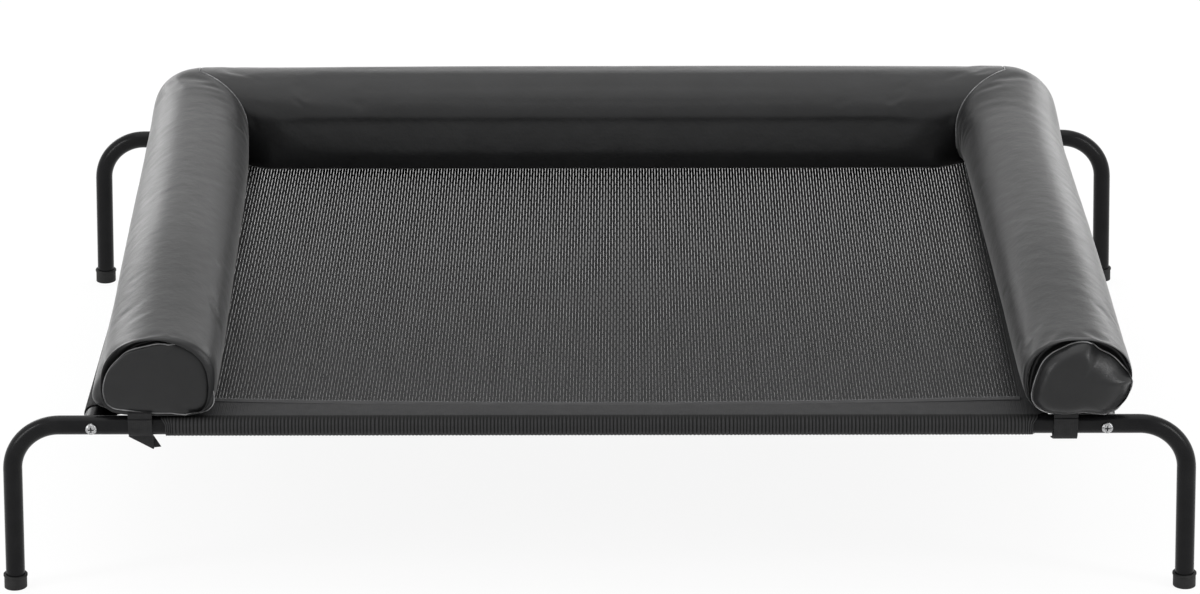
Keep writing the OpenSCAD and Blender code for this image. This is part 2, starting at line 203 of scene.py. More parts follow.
def setSky():
    scene = bpy.context.scene
    scene.view_settings.view_transform = "Standard"
    world = bpy.data.worlds.new("studio")
    scene.world = world
    world.use_nodes = True
    tree = world.node_tree
    sky = tree.nodes["Background"]
    sky.inputs["Color"].default_value = (1, 1, 1, 1)
    direction = coordinate(tree, "Generated")
    vectorMath = "ShaderNodeVectorMath"
    facing = mathNode(tree, "DOT_PRODUCT", direction, studio["brightSide"], kind=vectorMath)
    sideways = mathNode(tree, "ABSOLUTE", direction, kind=vectorMath)
    sideGlow = mathNode(tree, "DOT_PRODUCT", sideways, (studio["sideGlow"], 0, 0), kind=vectorMath)
    span = {"From Min": -1, "To Min": studio["skyLow"], "To Max": studio["skyHigh"]}
    level = addNode(tree, "ShaderNodeMapRange", **span)
    level.clamp = False
    join(mathNode(tree, "ADD", facing, sideGlow), level.inputs["Value"])
    strength = addNode(tree, "ShaderNodeMix", B=1)
    join(seenDirectly(tree), strength.inputs["Factor"])
    join(level.outputs["Result"], strength.inputs["A"])
    join(strength.outputs["Result"], sky.inputs["Strength"])


def setLamps():
    bpy.ops.object.light_add(type="AREA", location=(0, studio["lampBack"], studio["lampHeight"]))
    lamp = bpy.context.object
    lamp.data.energy = studio["lampPower"]
    lamp.data.size = studio["lampSize"]
    for side in (-1, 1):
        for kind in ("box", "rim"):
            x, y, z = studio[kind + "Place"]
            bpy.ops.object.light_add(type="AREA", location=(side * x, y, z))
            softbox = bpy.context.object
            softbox.data.shape = "RECTANGLE"
            softbox.data.size, softbox.data.size_y = studio[kind + "Size"]
            softbox.data.energy = studio[kind + "Power"]
            aim = Vector(studio["aim"]) - softbox.location
            softbox.rotation_euler = aim.to_track_quat("-Z", "Y").to_euler()
            softbox.visible_camera = False


def setFloor():
    clearSelection()
    bpy.ops.mesh.primitive_plane_add(size=studio["floorSize"])
    floor = bpy.context.object
    floor.name = "floor"
    paint = bpy.data.materials.new("floorPaint")
    paint.use_nodes = True
    tree = paint.node_tree
    tree.nodes.clear()
    matt = addNode(tree, "ShaderNodeBsdfDiffuse", Color=(*[studio["floorWhite"]] * 3, 1))
    glow = tree.nodes.new("ShaderNodeEmission")
    blend = tree.nodes.new("ShaderNodeMixShader")
    share = mathNode(tree, "MULTIPLY", seenDirectly(tree), studio["floorGlow"])
    join(share, blend.inputs[0])
    join(matt.outputs[0], blend.inputs[1])
    join(glow.outputs[0], blend.inputs[2])
    out = tree.nodes.new("ShaderNodeOutputMaterial")
    join(blend.outputs[0], out.inputs[0])
    floor.data.materials.append(paint)


setSky()
setLamps()
setFloor()
print("studio set")


# materials

def newMaterial(name, specular=0.5, **sockets):
    material = bpy.data.materials.new(name)
    material.use_nodes = True
    shader = material.node_tree.nodes["Principled BSDF"]
    shader.inputs["Specular IOR Level"].default_value = specular
    for key, value in sockets.items():
        shader.inputs[key].default_value = value
    return material, shader, coordinate(material.node_tree, "Object")


def nodeOn(source, kind, **inputs):
    node = addNode(source.id_data, kind, **inputs)
    join(source, node.inputs["Vector"])
    return node


def noiseOn(source, scale, detail=3, rough=0.55):
    grain = nodeOn(source, "ShaderNodeTexNoise", Scale=scale, Detail=detail, Roughness=rough)
    return grain.outputs["Fac"]


def stretched(source, scale):
    return nodeOn(source, "ShaderNodeMapping", Scale=scale).outputs["Vector"]


def bandsOn(source, pitch, direction):
    # even ridges, one every pitch metres
    bands = nodeOn(source, "ShaderNodeTexWave", Scale=math.pi / 10 / pitch)
    bands.bands_direction = direction
    return bands.outputs["Fac"]


def weave(shader, across, along):
    # crossing threads, spaced in metres on the cloth's own map
    tree = shader.id_data
    cloth = coordinate(tree, "UV")
    return mathNode(tree, "MULTIPLY", bandsOn(cloth, across, "X"), bandsOn(cloth, along, "Y"))


def addBump(shader, height, strength, distance, under=None):
    bump = addNode(shader.id_data, "ShaderNodeBump", Strength=strength, Distance=distance)
    join(height, bump.inputs["Height"])
    if under:
        join(under.outputs["Normal"], bump.inputs["Normal"])
    join(bump.outputs["Normal"], shader.inputs["Normal"])
    return bump


def tintBetween(shader, factor, dark, light):
    ramp = addNode(shader.id_data, "ShaderNodeValToRGB")
    low, high = ramp.color_ramp.elements
    low.position = 0.3
    low.color = (*dark, 1)
    high.position = 0.7
    high.color = (*light, 1)
    join(factor, ramp.inputs["Fac"])
    join(ramp.outputs["Color"], shader.inputs["Base Color"])


def roughBetween(shader, factor, low, high):
    span = addNode(shader.id_data, "ShaderNodeMapRange", **{"To Min": low, "To Max": high})
    join(factor, span.inputs["Value"])
    join(span.outputs["Result"], shader.inputs["Roughness"])


tubeBlack, shader, place = newMaterial("powderCoat", 0.13)
cloud = noiseOn(place, 38, 4)
tintBetween(shader, cloud, (0.0045, 0.0045, 0.005), (0.008, 0.008, 0.0085))
roughBetween(shader, cloud, 0.2, 0.3)
addBump(shader, noiseOn(place, 620, 2), 0.16, 0.0004)

rubberBlack, shader, place = newMaterial("capRubber", 0.22)
scuff = noiseOn(place, 130, 5)
tintBetween(shader, scuff, (0.010, 0.010, 0.010), (0.020, 0.020, 0.020))
roughBetween(shader, scuff, 0.52, 0.72)
addBump(shader, noiseOn(place, 1500, 2), 0.22, 0.0003)

zinc, shader, place = newMaterial("boltZinc", Metallic=1)
brushed = noiseOn(stretched(place, (900, 60, 900)), 1)
# painted shade: ambient occlusion darkens the bolt's colour in its cross recess, on top of the brushed
# grain
recess = addNode(shader.id_data, "ShaderNodeAmbientOcclusion", Distance=0.003)
grainAndPaintedLight = mathNode(shader.id_data, "MULTIPLY", brushed, recess.outputs["AO"])
tintBetween(shader, grainAndPaintedLight, (0.04, 0.04, 0.041), (0.78, 0.785, 0.79))
roughBetween(shader, brushed, 0.2, 0.36)
addBump(shader, brushed, 0.08, 0.0002)

nylon, shader, place = newMaterial("plugNylon", 0.25, **{"Base Color": (0.016, 0.016, 0.0165, 1)})
grain = noiseOn(place, 400)
roughBetween(shader, grain, 0.4, 0.6)
addBump(shader, grain, 0.1, 0.0003)

sheen = {"Sheen Weight": 0.26, "Sheen Roughness": 0.3}
coverCloth, shader, place = newMaterial("bolsterCloth", 0.3, **sheen)
mottle = noiseOn(place, 22, 5, 0.6)
tintBetween(shader, mottle, (0.0085, 0.0086, 0.009), (0.0125, 0.0127, 0.0132))
roughBetween(shader, noiseOn(place, 55), 0.28, 0.38)
soft = addBump(shader, noiseOn(place, 34, 4, 0.6), 0.18, 0.004)
addBump(shader, weave(shader, 0.0007, 0.0007), 0.14, 0.0002, under=soft)

yarn, shader, place = newMaterial("meshYarn", 0.12)
batch = noiseOn(stretched(place, (160, 6, 6)), 1, 2)
tintBetween(shader, batch, (0.009, 0.009, 0.0095), (0.016, 0.016, 0.0167))
roughBetween(shader, noiseOn(place, 240, 2), 0.42, 0.6)
addBump(shader, bandsOn(place, 0.0016, "Y"), 0.35, 0.0003)

borderCloth, shader, place = newMaterial("sleeveCloth", 0.15)
# painted shade: the rib attribute darkens the cloth's colour in the grooves between the ribs and lightens
# it on their crests
rib = shader.id_data.nodes.new("ShaderNodeAttribute")
rib.attribute_name = "rib"
tintBetween(shader, rib.outputs["Fac"], (0.003, 0.003, 0.003), (0.03, 0.03, 0.031))
roughBetween(shader, noiseOn(place, 90, 4), 0.48, 0.66)
addBump(shader, weave(shader, 0.0019, 0.0012), 0.4, 0.0004)

strapWeb, shader, place = newMaterial("webbing", 0.15)
batch = noiseOn(place, 160, 4)
tintBetween(shader, batch, (0.014, 0.014, 0.0145), (0.022, 0.022, 0.0225))
roughBetween(shader, batch, 0.55, 0.75)
addBump(shader, weave(shader, 0.0021, 0.0013), 0.5, 0.0005)

tape, shader, place = newMaterial("bindingTape", 0.2)
batch = noiseOn(stretched(place, (40, 300, 300)), 1)
tintBetween(shader, batch, (0.028, 0.028, 0.029), (0.05, 0.05, 0.051))
roughBetween(shader, batch, 0.45, 0.6)
addBump(shader, bandsOn(place, 0.0012, "X"), 0.35, 0.0003)

thread, shader, place = newMaterial("seamThread", **{"Sheen Weight": 0.2})
twist = bandsOn(place, 0.0011, "DIAGONAL")
tintBetween(shader, twist, (0.09, 0.09, 0.094), (0.15, 0.15, 0.155))
roughBetween(shader, twist, 0.5, 0.65)
addBump(shader, twist, 0.3, 0.0003)

# the folded edge of the bolster cloth, its colour a painted highlight that runs from near black to light
# grey
sheen = {"Sheen Weight": 0.4, "Sheen Roughness": 0.4}
weltCloth, shader, place = newMaterial("weltEdge", 0.4, **sheen)
grainAndPaintedLight = noiseOn(place, 42)
tintBetween(shader, grainAndPaintedLight, (0.012, 0.012, 0.0124), (0.34, 0.34, 0.345))
roughBetween(shader, grainAndPaintedLight, 0.3, 0.5)
addBump(shader, noiseOn(place, 900, 2), 0.2, 0.0002)

for corner in corners:
    dressPiece(nodes[corner + "_leg"], tubeBlack)
    dressPiece(nodes[corner + "_foot_cap"], rubberBlack)
    dressPiece(nodes[corner + "_bolt"], zinc)
    dressPiece(nodes[corner + "_nut_plug"], nylon)
for name in ("front_rail", "rear_rail", "left_side_rail", "right_side_rail"):
    dressPiece(nodes[name], tubeBlack)
print("frame dressed")


# bolster: three stuffed tubes, sewn together on slanted corner seams
# an end is (angle seen from the front, out to the panel's rim, crack beside it, its depth, flatness), in
# degrees and millimetres, and where the flatness is low the panel slopes back all the way to its crack
bolster = {
    "sides": 92,
    "ringStep": 0.0056,
    "panelRings": 16,
    "lipRings": 14,
    "sinkRings": 4,
    "backIn": 0.0005,    # the tubes are cut this much inside the finished form
    "leftIn": 0.003,
    "rightIn": 0.0045,
    "leftShift": 0.005,  # the left tube leans inwards
    "rightShift": 0,
    "leftSag": 0.47,     # the left tube spreads over its side rail, most towards the front
    "rightSag": 0,
    "backSag": 0.2,      # the back tube leans on the sling
    "backLift": 0.09,    # and is fullest above its middle
    "spreadRun": 0.45,   # share of its height over which a spread foot runs out
    "spreadFull": 1.1,   # above 1 it is full for a little way first
    "leftPuff": 0,       # how much fuller a side tube is just past its corner
    "rightPuff": 0.05,
    "puffAt": 0.075,
    "puffRun": 0.05,
    "crease": 0.0002,    # soft slanting creases over the side tubes, deeper near the corners
    "cornerCrease": 0.0006,
    "creaseRun": 0.12,
    "creasePitch": 0.026,
    "creaseSlant": 2.6,
    "creaseFine": 1.7,
    "creaseUp": 2,
    "creaseFrom": 0.01,
    "patchRun": 5,       # the creases come in patches, this many times as long
    "patchAcross": 1.5,
    "foldSeed": 7,
    "patchSeed": 3,
    "endDrop": 0.11,     # the side tubes are drawn in towards their front ends
    "dropRun": 0.32,
    "leftNarrow": 0.04,
    "rightNarrow": 0.01,
    "narrowRun": 0.022,
    "seamStep": 0.0008,  # the last ring before a corner seam
    "piped": (20, 52),   # the stretch of a corner seam that is piped, in points round a tube
    "underColumn": 58,   # the point round a tube where the piping runs along the inside
    "endShare": 0.76,    # how far past the corners the back tube's ends reach, against half its width
    "endTrim": 0.004,
    "mitre": 0.13,
    "sweep": 92,         # how far a side tube turns round the outside of its corner, in degrees
    "seamDraw": 0.0006,  # how far a corner seam draws the tubes in
    "seamRun": 0.03,
    "girthShare": 0.8,   # the girth of a tube against that of its box
    "weltThick": 0.0013,
    "weltOut": 0.0003,
    "lipLeast": 0.0015,  # the least width of the lip round an end panel
    "lipLength": 0.006,
    "lipCurl": 160,      # how far the lip rolls in, in degrees
    "crackIn": 0.4,      # the lip ends this far across the crack
    "keyBlur": 5,        # degrees over which the listed ends are smoothed
    "leftCrown": 0.003,  # how far the end panels bulge
    "rightCrown": 0.017,
    "panelSlope": 0.006,
    "slopeBelow": 5,     # the flatness under which a panel slopes back
    "rimShares": (1, 0.995, 0.97),  # the last rings of a panel and how deep they lie in the crack
    "rimDepths": (0.62, 0.2, 0.05),
    "topPower": 0.92,    # below 1 a tube is squarer than round
    "waist": 0.25,       # how soon the rounded middle runs out into the squarer foot
    "footRun": 0.045,    # from a corner seam to the full shape of the foot
    "seamBottom": 0.5,
    "backBottom": 0.2,
    "leftBottom": 0.45,
    "rightBottom": 0.72,
    "leftEnd": [
        (-175, 54, 2, 5, 5), (-165, 57, 1.5, 4, 6), (-149, 59.5, 0.5, 3, 6), (-139, 52.5, 0.5, 3, 6),
        (-129, 45, 0.5, 3, 7), (-108, 39.5, 0.5, 3, 7), (-90, 38.8, 0.5, 3, 7), (-80, 37.5, 0.5, 3, 7),
        (-65, 42.5, 0.5, 3, 7), (-53, 50.5, 0.5, 3, 5), (-43, 59, 0.5, 3, 4), (-33, 63.5, 0.5, 3, 4),
        (-25, 62, 0.5, 3, 4), (-18, 57.5, 1, 5, 4), (-4, 52.5, 1, 5, 4), (8, 50.8, 1.5, 6, 4),
        (26, 47.5, 1.5, 6, 4), (48, 42.3, 1.5, 6, 4), (66, 40.6, 1, 4, 5), (84, 38.5, 3, 8, 7),
        (102, 36.3, 5, 14, 9), (121, 38, 6, 14, 9), (134, 41.8, 6, 14, 9), (152, 44, 5, 12, 9),
        (170, 50, 3.5, 10, 9),
    ],
    "rightEnd": [
        (-170, 45.5, 6, 11, 9), (-157, 51.5, 2, 6, 8), (-148, 54, 0.5, 4, 7), (-134, 52, 0.5, 4, 7),
        (-120, 46.5, 0.5, 3, 7), (-99, 41.5, 0.5, 3, 7), (-88, 40, 0.5, 3, 7), (-80, 38.3, 0.5, 3, 6),
        (-62, 45.5, 0.5, 3, 6), (-46, 57, 0.5, 5, 4), (-27, 56.5, 0.5, 7, 4), (-13, 58.5, 0.5, 5, 4),
        (-2, 56.5, 0.5, 2, 6), (12, 47.6, 6, 14, 3), (30, 42.2, 10, 16, 2.6), (52, 36, 12, 16, 2.8),
        (66, 38, 6, 10, 5), (76, 40.6, 1, 3, 5), (91, 39, 4, 8, 7), (118, 36.1, 7, 14, 9),
        (134, 37.8, 7, 14, 9), (154, 40, 7.5, 14, 9), (173, 41.3, 7.5, 14, 9),
    ],
}
backLow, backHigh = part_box("back_bolster_cover")
restZ = backLow.z
tubeWidth = backHigh.y - backLow.y
tubeHeight = backHigh.z - backLow.z
cornerY = (backLow.y + backHigh.y) / 2
cornerX = backHigh.x - bolster["endShare"] * (tubeWidth - bolster["endTrim"]) / 2
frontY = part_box("right_bolster_cover")[0].y
sideLength = cornerY - frontY


def tubeSection(turn, width, height, bottom):
    # across and up from the middle of the underside
    c, s = math.cos(turn), math.sin(turn)
    power = bolster["topPower"]
    if s < 0:
        power = bottom + (power - bottom) * math.exp(s / bolster["waist"])
    across = width / 2 * math.copysign(abs(c) ** power, c)
    up = height / 2 * (1 + math.copysign(abs(s) ** power, s))
    return across, up


def lowShare(up):
    # 1 at the foot of a tube, 0 from its middle upwards
    return min(max(bolster["spreadFull"] - up / (bolster["spreadRun"] * tubeHeight), 0), 1)


def easeIn(distance, length):
    return 1 if distance >= length else math.sin(math.pi / 2 * max(distance, 0) / length)


def drawnSection(turn, distance, inset, bottom, crease=0):
    # the section of a tube at a distance from its corner seam
    away = easeIn(distance, bolster["mitre"])
    pinch = bolster["seamDraw"] * (1 - easeIn(distance, bolster["seamRun"]))
    pinch += 2 * inset * away + 2 * crease
    power = bolster["seamBottom"] + (bottom - bolster["seamBottom"]) * easeIn(distance, bolster["footRun"])
    return tubeSection(turn, tubeWidth - pinch, tubeHeight - pinch, power)


def creaseAt(turn, distance, side):
    depth = bolster["crease"] + bolster["cornerCrease"] * math.exp(-distance / bolster["creaseRun"])
    run = bolster["creaseFine"] * distance / bolster["creasePitch"]
    across, up = math.cos(turn), math.sin(turn)
    slanted = run - bolster["creaseSlant"] * across
    fold = noise.noise(Vector((slanted, bolster["creaseUp"] * up, bolster["foldSeed"] * side)))
    spot = (run / bolster["patchRun"], bolster["patchAcross"] * across, bolster["patchSeed"] * side)
    patch = 0.5 + noise.noise(Vector(spot))
    return depth * fold * min(max(patch, 0), 1) * min(1, distance / bolster["creaseFrom"])


def frontDraw(behind, run):
    # 1 at the front of a side tube, 0 from a run behind it
    return 0.5 + 0.5 * math.cos(math.pi * min(behind / run, 1))


def roundCorner(across, distance):
    # a side tube's inside stops on the slanted seam, its outside turns round the corner
    mitre = bolster["mitre"]
    share = max(0, 1 - distance / mitre)
    if share == 0 or across <= 0:
        return across, share * across - distance
    past = share * (mitre + across * math.radians(bolster["sweep"])) - mitre
    if past <= 0:
        return across, past
    return across * math.cos(past / across), across * math.sin(past / across)


def endShape(keys, angle):
    # rim, crack, depth and flatness at an angle, smoothed a little between the listed ones
    angles = [key[0] for key in keys]
    blur = bolster["keyBlur"]
    shape = []
    for column in (1, 2, 3, 4):
        values = [key[column] for key in keys]
        near = [np.interp(angle + d, angles, values, period=360) for d in (-blur, 0, blur)]
        shape.append(sum(near) / 3)
    rim, crack, depth, flatness = shape
    return rim / 1000, crack / 1000, depth / 1000, flatness


def ringOf(ring):
    # the points of one ring, from their order in the grid
    row = bolster["sides"] + 1
    return [ring * row + i for i in range(row - 1)]


def sideBolster(name, side):
    keys = bolster[name + "End"]
    endLow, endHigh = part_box(name + "_end_panel")
    frontX = side * (endLow.x + endHigh.x) / 2
    midUp = (endHigh.z - endLow.z) / 2
    lipLength = bolster["lipLength"]
    bodyRings = int((sideLength - lipLength) / bolster["ringStep"])
    panelEnd = bolster["panelRings"]
    lipEnd = panelEnd + bolster["lipRings"]
    bodyEnd = lipEnd + bodyRings
    last = bodyEnd + bolster["sinkRings"]
    curl = math.radians(bolster["lipCurl"])

    def place(u, v):
        ring = round(v * last)
        turn = 2 * math.pi * u
        along = min(max((ring - lipEnd) / bodyRings, 0), 1)
        behind = lipLength + (sideLength - lipLength) * along
        if ring == bodyEnd - 1:
            behind = sideLength - bolster["seamStep"]
        distance = sideLength - behind
        crease = creaseAt(turn, distance, side)
        across, up = drawnSection(turn, distance, bolster[name + "In"], bolster[name + "Bottom"], crease)
        if across > 0:
            puff = math.exp(-((distance - bolster["puffAt"]) / bolster["puffRun"]) ** 2)
            across *= 1 + bolster[name + "Puff"] * puff
            sag = bolster[name + "Sag"] * (1 - frontDraw(behind, bolster["narrowRun"]))
            across *= 1 + sag * lowShare(up) * (distance / sideLength) ** 2
        up *= 1 - bolster["endDrop"] * frontDraw(behind, bolster["dropRun"])
        across *= 1 - bolster[name + "Narrow"] * frontDraw(behind, bolster["narrowRun"])
        middleX = frontX + (cornerX - frontX) * behind / sideLength
        middleX -= bolster[name + "Shift"] * easeIn(distance, 2 * bolster["mitre"])
        if ring > lipEnd:
            across, ahead = roundCorner(across, distance)
            spot = Vector((middleX + across, cornerY + ahead, up))
            seamMiddle = Vector((cornerX, cornerY, tubeHeight / 2))
            sunk = 1 - max(0, ring - bodyEnd) / bolster["sinkRings"]
            spot = seamMiddle + (spot - seamMiddle) * sunk
            return Vector((side * spot.x, spot.y, restZ + spot.z))
        away = up - midUp
        outward = math.hypot(across, away)
        angle = math.degrees(math.atan2(away, side * across))
        rim, crack, depth, flatness = endShape(keys, angle)
        lipOut = max(outward - rim - crack, bolster["lipLeast"])
        if ring >= panelEnd:
            arc = curl * (1 - (ring - panelEnd) / bolster["lipRings"])
            swing = lipOut / (1 - math.cos(curl))
            out = outward - swing * (1 - math.cos(arc))
            rise = 1 - math.sin(arc)
            back = lipLength * rise if arc < math.pi / 2 else depth * rise / (1 - math.sin(curl))
            if ring == panelEnd:
                out = rim + bolster["crackIn"] * crack
        else:
            shares = bolster["rimShares"]
            steps = panelEnd - ring
            if steps <= len(shares):
                share = shares[steps - 1]
                wall = depth * bolster["rimDepths"][steps - 1]
            else:
                share = shares[-1] * ring / (panelEnd - len(shares) - 1)
                wall = 0
            out = rim * share
            face = -bolster[name + "Crown"] * (1 - share ** flatness)
            slope = bolster["panelSlope"] * share ** flatness if flatness < bolster["slopeBelow"] else 0
            back = face + max(wall, slope)
        x = frontX + (middleX - frontX) * back / lipLength + across / outward * out
        return Vector((side * x, frontY + back, restZ + max(midUp + away / outward * out, 0)))

    piece = gridPiece(name + "Bolster", bolster["sides"], last, place)
    sewn = [*range(lipEnd - 1), bodyEnd]
    under = [ringOf(ring)[bolster["underColumn"]] for ring in range(lipEnd, bodyEnd)]
    first, stop = bolster["piped"]
    welts = {
        "endWelt": ringOf(panelEnd - 2),
        "cornerWelt": ringOf(bodyEnd)[first:stop],
        "cornerStitches": ringOf(bodyEnd - 1)[first:stop],
        "underWelt": under,
    }
    return piece, sewn, welts


def backBolster():
    length = 2 * cornerX
    bodyRings = int(length / bolster["ringStep"])
    sink = bolster["sinkRings"]
    last = bodyRings + 2 * sink

    def place(u, v):
        ring = round(v * last)
        along = min(max((ring - sink) / bodyRings, 0), 1)
        x = cornerX - length * along
        if ring in (sink + 1, last - sink - 1):
            x = math.copysign(cornerX - bolster["seamStep"], x)
        distance = cornerX - abs(x)
        across, up = drawnSection(2 * math.pi * u, distance, bolster["backIn"], bolster["backBottom"])
        if across < 0:
            across *= 1 + bolster["backSag"] * lowShare(up) * easeIn(distance, bolster["footRun"])
            fullness = 1 - (2 * up / tubeHeight - 1) ** 2
            up += bolster["backLift"] * tubeHeight * fullness * easeIn(distance, bolster["mitre"])
        shift = across * max(0, 1 - distance / bolster["mitre"])
        shift *= math.cos(math.radians(bolster["sweep"])) if across > 0 else 1
        side = 1 if x > 0 else -1
        spot = Vector((x + side * shift, cornerY + across, restZ + up))
        beyond = max(sink - ring, ring - sink - bodyRings, 0)
        seamMiddle = Vector((x, cornerY, restZ + tubeHeight / 2))
        return seamMiddle + (spot - seamMiddle) * (1 - beyond / sink)

    piece = gridPiece("backBolster", bolster["sides"], last, place)
    return piece, [sink, last - sink], {}


# cloth: the sewn seams and the underside are held while the filling swells the cover
swelling = {
    "frames": 24,
    "cap": 0.0025,       # no point moves further than this
    "underside": 0.004,  # points lower than this are held
    "seamGap": 0.0004,
    "cloth": {
        "quality": 6,
        "mass": 0.25,
        "tension_stiffness": 14,
        "compression_stiffness": 14,
        "shear_stiffness": 4,
        "bending_stiffness": 0.9,
        "air_damping": 2,
        "use_pressure": True,
        "uniform_pressure_force": 1.4,
        "shrink_min": -0.0004,  # the cover is cut a little larger than the form
    },
}


def spotsOf(piece, points):
    return [piece.data.vertices[i].co.copy() for i in points]


def pointsAt(piece, spots):
    tree = kdtree.KDTree(len(piece.data.vertices))
    for point in piece.data.vertices:
        tree.insert(point.co, point.index)
    tree.balance()
    return [tree.find(spot)[1] for spot in spots]


def swell(piece, held):
    start = [point.co.copy() for point in piece.data.vertices]
    pins = piece.vertex_groups.new(name="held")
    pins.add(held, 1, "REPLACE")
    cloth = piece.modifiers.new("cloth", "CLOTH")
    for key, value in swelling["cloth"].items():
        setattr(cloth.settings, key, value)
    cloth.settings.vertex_group_mass = "held"
    cloth.settings.effector_weights.gravity = 0
    scene = bpy.context.scene
    for step in range(1, swelling["frames"] + 1):
        scene.frame_set(step)
    pickOnly(piece)
    bpy.ops.object.modifier_apply(modifier="cloth")
    scene.frame_set(1)
    for point, old in zip(piece.data.vertices, start):
        move = point.co - old
        if move.length > swelling["cap"]:
            point.co = old + move * (swelling["cap"] / move.length)


def keepClear(piece, inFront):
    # flat on the sling, the side tubes just off the corner seams and the back tube drawn out along them
    ownSide = 1 if inFront else -1
    for point in piece.data.vertices:
        point.co.z = max(point.co.z, restZ)
        outX = abs(point.co.x) - cornerX
        outY = point.co.y - cornerY
        if outY >= 0:
            over = max(swelling["seamGap"] - ownSide * outX, 0)
            moveX, moveY = over, 0
        else:
            over = max(swelling["seamGap"] - ownSide * (outX - outY), 0)
            moveX, moveY = over / 2, -over / 2
        point.co.x += math.copysign(moveX, point.co.x)
        point.co.y += ownSide * moveY


def makeLines(name, rows, thick, material, closed=False):
    # thin round cords along rows of points
    line = bpy.data.curves.new(name, "CURVE")
    line.dimensions = "3D"
    line.bevel_depth = thick / 2
    line.bevel_resolution = 1
    line.use_fill_caps = True
    for spots in rows:
        spline = line.splines.new("POLY")
        spline.points.add(len(spots) - 1)
        for point, spot in zip(spline.points, spots):
            point.co = (*spot, 1)
        spline.use_cyclic_u = closed
    cords = bpy.data.objects.new(name, line)
    bpy.context.scene.collection.objects.link(cords)
    pickOnly(cords)
    bpy.ops.object.convert(target="MESH")
    cords = bpy.context.object
    editPiece(cords, mergeDoubles, faceOutwards)
    smoothPiece(cords)
    finishPiece(cords, material)


stitch = {
    "length": 0.0036,
    "pitch": 0.0054,
    "thick": 0.0007,
    "lift": 0.0004,  # the middle of a stitch stands this much off the cloth
    "dip": 0.0004,   # and its ends go this deep
}


def stitchesAlong(spots, normals):
    runs = np.cumsum([0] + [(b - a).length for a, b in zip(spots, spots[1:])])

    def onRow(run, lift):
        low = min(int(np.searchsorted(runs, run, side="right")) - 1, len(spots) - 2)
        share = (run - runs[low]) / (runs[low + 1] - runs[low])
        outward = normals[low].lerp(normals[low + 1], share).normalized()
        return spots[low].lerp(spots[low + 1], share) + outward * lift

    length, lift, dip = stitch["length"], stitch["lift"], stitch["dip"]
    starts = np.arange(0, runs[-1] - length, stitch["pitch"])
    return [[onRow(a, -dip), onRow(a + length / 2, lift), onRow(a + length, -dip)] for a in starts]


def makeBolsters():
    made = []
    for name, side in (("left", -1), ("right", 1)):
        replaced = [name + "_bolster_cover", name + "_bolster_fill", name + "_end_panel"]
        made.append((*sideBolster(name, side), sideLength, True, replaced))
    made.append((*backBolster(), 2 * cornerX, False, ["back_bolster_cover", "back_bolster_fill"]))
    for piece, seams, welts, length, inFront, replaced in made:
        scaleUv(piece, 2 * (tubeWidth + tubeHeight) * bolster["girthShare"], length)
        sewn = [spot for ring in seams for spot in spotsOf(piece, ringOf(ring))]
        weltSpots = {name: spotsOf(piece, points) for name, points in welts.items()}
        editPiece(piece, mergeDoubles, faceOutwards)
        weltPoints = {name: pointsAt(piece, spots) for name, spots in weltSpots.items()}
        low = [point.index for point in piece.data.vertices if point.co.z < restZ + swelling["underside"]]
        swell(piece, low + pointsAt(piece, sewn))
        keepClear(piece, inFront)
        for name, points in weltPoints.items():
            normals = [piece.data.vertices[i].normal.copy() for i in points]
            row = spotsOf(piece, points)
            lineName = piece.name + "." + name
            if name == "cornerStitches":
                makeLines(lineName, stitchesAlong(row, normals), stitch["thick"], thread)
                continue
            row = [spot + normal * bolster["weltOut"] for spot, normal in zip(row, normals)]
            makeLines(lineName, [row], bolster["weltThick"], weltCloth, name == "endWelt")
        addModifier(piece, "SUBSURF", levels=1, render_levels=1)
        smoothPiece(piece)
        finishPiece(piece, coverCloth)
        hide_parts(*replaced)
        print(piece.name, "made,", len(piece.data.polygons), "faces")


makeBolsters()

# sling: an open knit of upright wales with long slits between them, hung between the sleeves
sling = {
    "pitch": 0.00335,    # from one wale to the next
    "period": 0.024,     # a slit and the bridge after it
    "steps": 8,          # points in a period
    "slit": 0.00045,
    "sideFade": 0.025,   # how far from the side seams the slits are fully open
    "frontSlit": 0.22,   # how wide they are at the front, against the rear
    "slitPower": 1.5,
    "bridgePower": 3,    # a higher one makes the bridges between the slits shorter
    "ridge": 0.0006,     # how far the middle of a wale stands up
    "slip": 0.003,       # how far a wale may slip along its neighbours
    "slipChange": 0.74,
    "slipSeed": 5.3,
    "edgeShare": 0.24,   # share of the sag that the front and rear seams have
    "cloth": 0.001,
    "lap": 0.004,        # how far the knit is sewn in under the side borders
    "rightSeam": 0.44,
    "tapeWidth": 0.0095,
    "tapeFlat": 1.1,
    "tapeSteps": (8, 120),
    "tapeThick": 0.0006,
    "tapeLift": 0.0007,
    "tapeRise": 0.0012,
    "tapeInset": 0.024,  # how far short of the left seam the tape stops
}
panelLow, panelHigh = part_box("mesh_panel")
slingSag = panelHigh.z - panelLow.z - sling["cloth"]


def slingHeight(x, y):
    u = min(abs(x) / panelHigh.x, 1)
    v = min(abs(y) / panelHigh.y, 1)
    return panelHigh.z - slingSag * (1 - u * u) * (1 - (1 - sling["edgeShare"]) * v * v)


def slitShare(x, y):
    # the slits close up towards the sewn edges
    side = min(x - panelLow.x, sling["rightSeam"] - x) / sling["sideFade"]
    rearward = (y - panelLow.y) / (panelHigh.y - panelLow.y)
    front = sling["frontSlit"]
    return min(max(side, 0), 1) * (front + (1 - front) * max(rearward, 0) ** sling["slitPower"])


